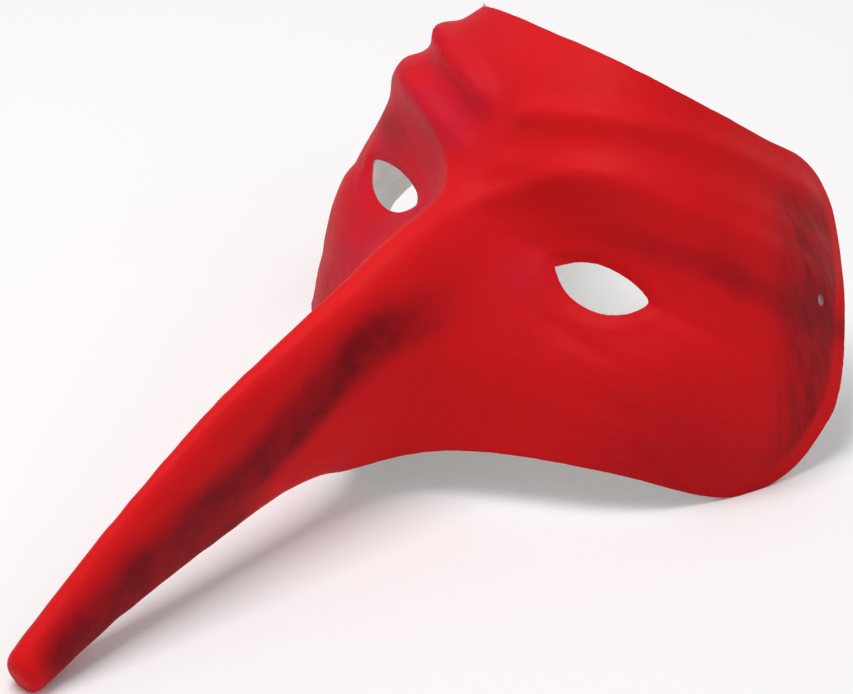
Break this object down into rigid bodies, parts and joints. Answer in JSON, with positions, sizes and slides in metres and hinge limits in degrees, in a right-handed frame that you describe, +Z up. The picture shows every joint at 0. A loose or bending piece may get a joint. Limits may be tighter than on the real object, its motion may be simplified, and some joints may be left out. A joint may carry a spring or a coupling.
{
  "type": "venetian bird mask",
  "caption": "Red papier-mache carnival half mask with a long hooked bird-like nose, almond eye holes and a hollow back, lying on its nose tip and cheeks.",
  "frame": {"origin": "centre of the bounding box, on the surface that the mask lies on", "axes": "+X to the wearer's left, -Y towards the tip of the nose, +Z up from the surface; the YZ plane is the mask's plane of symmetry"},
  "size_m": [0.1514, 0.2206, 0.092],
  "materials": {
    "painted_papier_mache": "satin red paint, brushed by hand over papier-mache"
  },
  "bodies": {
    "root": {"mask_shell": "painted_papier_mache"}
  },
  "joints": []
}
